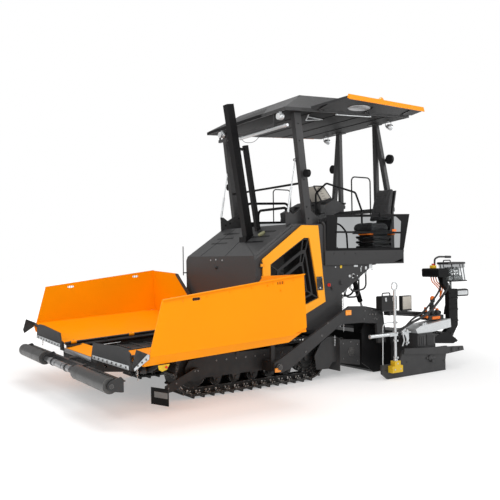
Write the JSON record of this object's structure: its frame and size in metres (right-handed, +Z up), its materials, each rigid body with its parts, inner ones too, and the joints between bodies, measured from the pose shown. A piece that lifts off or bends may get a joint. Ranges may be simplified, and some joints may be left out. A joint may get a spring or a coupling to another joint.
{
  "type": "tracked asphalt paver",
  "caption": "Tracked road paver: folding feed hopper with conveyors in front, roofed operator platform, spreading augers and a towed, width-adjustable screed behind.",
  "frame": {"origin": "on the ground, on the machine's centreline, midway along the ground contact of the tracks", "axes": "+X forward towards the hopper and push rollers, +Y to the machine's left, +Z up"},
  "size_m": [5.638, 3.856, 3.829],
  "materials": {
    "yellow_paint": "gloss",
    "dark_paint": "satin",
    "black_paint": "satin",
    "grey_paint": "satin",
    "track_steel": "worn",
    "bare_steel": "worn",
    "galvanised": "matte",
    "chrome_rod": "polished",
    "rubber": "matte",
    "black_plastic": "matte",
    "seat_fabric": "woven",
    "roof_plastic": "matte",
    "window_glass": "clear",
    "safety_yellow": "matte"
  },
  "bodies": {
    "chassis": {"track_left": "track_steel", "track_right": "track_steel", "track_wheels": "track_steel", "track_frames": "dark_paint", "main_frame": "dark_paint", "conveyors": "bare_steel", "hopper_frame": "dark_paint", "hood": "dark_paint", "engine_block": "grey_paint", "rear_housing": "dark_paint", "platform": "dark_paint", "side_screens": "black_paint", "screen_panes": "window_glass", "handrails": "black_paint", "seat_bases": "black_plastic", "seat_pads": "seat_fabric", "console": "dark_paint", "exhaust_stack": "black_paint", "front_posts": "dark_paint", "gas_struts": "black_paint", "rear_posts": "black_paint", "roof_panel": "roof_plastic", "lamps": "grey_paint", "mirrors": "black_plastic", "auger_frame": "dark_paint"},
    "push_beam": {"push_beam": "black_paint"},
    "screed": {"tow_arms": "dark_paint", "tool_boxes": "black_plastic", "screed_body": "dark_paint"},
    "lift_barrels": {"lift_ram_barrels": "black_paint"},
    "lift_rods": {"lift_ram_rods": "chrome_rod"},
    "wing_left": {"hopper_wing_left": "yellow_paint", "front_flap_left": "rubber"},
    "wing_barrel_left": {"wing_ram_barrel_left": "black_paint"},
    "wing_rod_left": {"wing_ram_rod_left": "chrome_rod"},
    "push_roller_left": {"push_roller_left": "bare_steel"},
    "door_left": {"side_door_left": "yellow_paint", "door_grille_left": "dark_paint"},
    "visor_left": {"roof_visor_left": "yellow_paint"},
    "auger_left": {"auger_left": "bare_steel"},
    "extension_left": {"screed_extension_left": "dark_paint", "end_plate_left": "dark_paint", "screed_control_left": "black_paint", "edge_foot_left": "safety_yellow", "screed_fittings_left": "galvanised"},
    "wing_right": {"hopper_wing_right": "yellow_paint", "front_flap_right": "rubber"},
    "wing_barrel_right": {"wing_ram_barrel_right": "black_paint"},
    "wing_rod_right": {"wing_ram_rod_right": "chrome_rod"},
    "push_roller_right": {"push_roller_right": "bare_steel"},
    "door_right": {"side_door_right": "yellow_paint", "door_grille_right": "dark_paint"},
    "visor_right": {"roof_visor_right": "yellow_paint"},
    "auger_right": {"auger_right": "bare_steel"},
    "extension_right": {"screed_extension_right": "dark_paint", "end_plate_right": "dark_paint", "screed_control_right": "black_paint", "edge_foot_right": "safety_yellow", "screed_fittings_right": "galvanised"}
  },
  "joints": [
    {"name": "wing_hinge_left", "type": "hinge", "parent": "chassis", "child": "wing_left", "pos_m": [0.94891, 0.604, 0.61842], "axis": [0.9988, 0, -0.048], "range_deg": [0, 75]},
    {"name": "wing_ram_swing_left", "type": "hinge", "parent": "chassis", "child": "wing_barrel_left", "pos_m": [1.33693, 0.7, 0.35951], "axis": [0.9988, 0, -0.048], "range_deg": [0, 63.04]},
    {"name": "wing_ram_stroke_left", "type": "slide", "parent": "wing_barrel_left", "child": "wing_rod_left", "axis": [0.0177, 0.9293, 0.3688], "range_m": [0, 0.2707]},
    {"name": "wing_hinge_right", "type": "hinge", "parent": "chassis", "child": "wing_right", "pos_m": [0.94891, -0.604, 0.61842], "axis": [-0.9988, 0, 0.048], "range_deg": [0, 75]},
    {"name": "wing_ram_swing_right", "type": "hinge", "parent": "chassis", "child": "wing_barrel_right", "pos_m": [1.33693, -0.7, 0.35951], "axis": [-0.9988, 0, 0.048], "range_deg": [0, 63.04]},
    {"name": "wing_ram_stroke_right", "type": "slide", "parent": "wing_barrel_right", "child": "wing_rod_right", "axis": [0.0177, -0.9293, 0.3688], "range_m": [0, 0.2707]},
    {"name": "push_beam_swing", "type": "hinge", "parent": "chassis", "child": "push_beam", "pos_m": [1.985, 0, 0.41], "axis": [0, 0, 1], "range_deg": [-4, 4]},
    {"name": "push_roller_spin_left", "type": "hinge", "parent": "push_beam", "child": "push_roller_left", "pos_m": [2.13, 1.0725, 0.41], "axis": [0, 1, 0], "continuous": true},
    {"name": "push_roller_spin_right", "type": "hinge", "parent": "push_beam", "child": "push_roller_right", "pos_m": [2.13, -1.0725, 0.41], "axis": [0, 1, 0], "continuous": true},
    {"name": "side_door_hinge_left", "type": "hinge", "parent": "chassis", "child": "door_left", "pos_m": [-0.08, 0.912, 1.2], "axis": [0, 0, -1], "range_deg": [0, 90]},
    {"name": "side_door_hinge_right", "type": "hinge", "parent": "chassis", "child": "door_right", "pos_m": [-0.08, -0.912, 1.2], "axis": [0, 0, 1], "range_deg": [0, 90]},
    {"name": "roof_visor_hinge_left", "type": "hinge", "parent": "chassis", "child": "visor_left", "pos_m": [-1.79611, 1, 3.55621], "axis": [0.9982, 0, -0.0593], "range_deg": [0, 90]},
    {"name": "roof_visor_hinge_right", "type": "hinge", "parent": "chassis", "child": "visor_right", "pos_m": [-1.79611, -1, 3.55621], "axis": [-0.9982, 0, 0.0593], "range_deg": [0, 90]},
    {"name": "auger_spin_left", "type": "hinge", "parent": "chassis", "child": "auger_left", "pos_m": [-1.47, 0.55, 0.33], "axis": [0, 1, 0], "continuous": true},
    {"name": "auger_spin_right", "type": "hinge", "parent": "chassis", "child": "auger_right", "pos_m": [-1.47, -0.55, 0.33], "axis": [0, 1, 0], "continuous": true},
    {"name": "screed_lift", "type": "hinge", "parent": "chassis", "child": "screed", "pos_m": [-0.2, 0, 0.27], "axis": [0, 1, 0], "range_deg": [0, 6]},
    {"name": "lift_ram_swing", "type": "hinge", "parent": "chassis", "child": "lift_barrels", "pos_m": [-1.753, 0, 1.29], "axis": [0, 1, 0], "range_deg": [0, 0.81]},
    {"name": "lift_ram_stroke", "type": "slide", "parent": "lift_barrels", "child": "lift_rods", "axis": [0.3372, 0, 0.9414], "range_m": [0, 0.19]},
    {"name": "screed_extend_left", "type": "slide", "parent": "screed", "child": "extension_left", "axis": [0, 1, 0], "range_m": [-0.34, 0.35]},
    {"name": "screed_extend_right", "type": "slide", "parent": "screed", "child": "extension_right", "axis": [0, -1, 0], "range_m": [-0.34, 0.35]}
  ],
  "couplings": [
    {"joint": "wing_ram_swing_left", "follows": "wing_hinge_left", "ratio": 0.84024},
    {"joint": "wing_ram_stroke_left", "follows": "wing_hinge_left", "m_per_rad": 0.20639},
    {"joint": "wing_ram_swing_right", "follows": "wing_hinge_right", "ratio": 0.84024},
    {"joint": "wing_ram_stroke_right", "follows": "wing_hinge_right", "m_per_rad": 0.20639},
    {"joint": "lift_ram_swing", "follows": "screed_lift", "ratio": 0.13401},
    {"joint": "lift_ram_stroke", "follows": "screed_lift", "m_per_rad": 1.81}
  ]
}
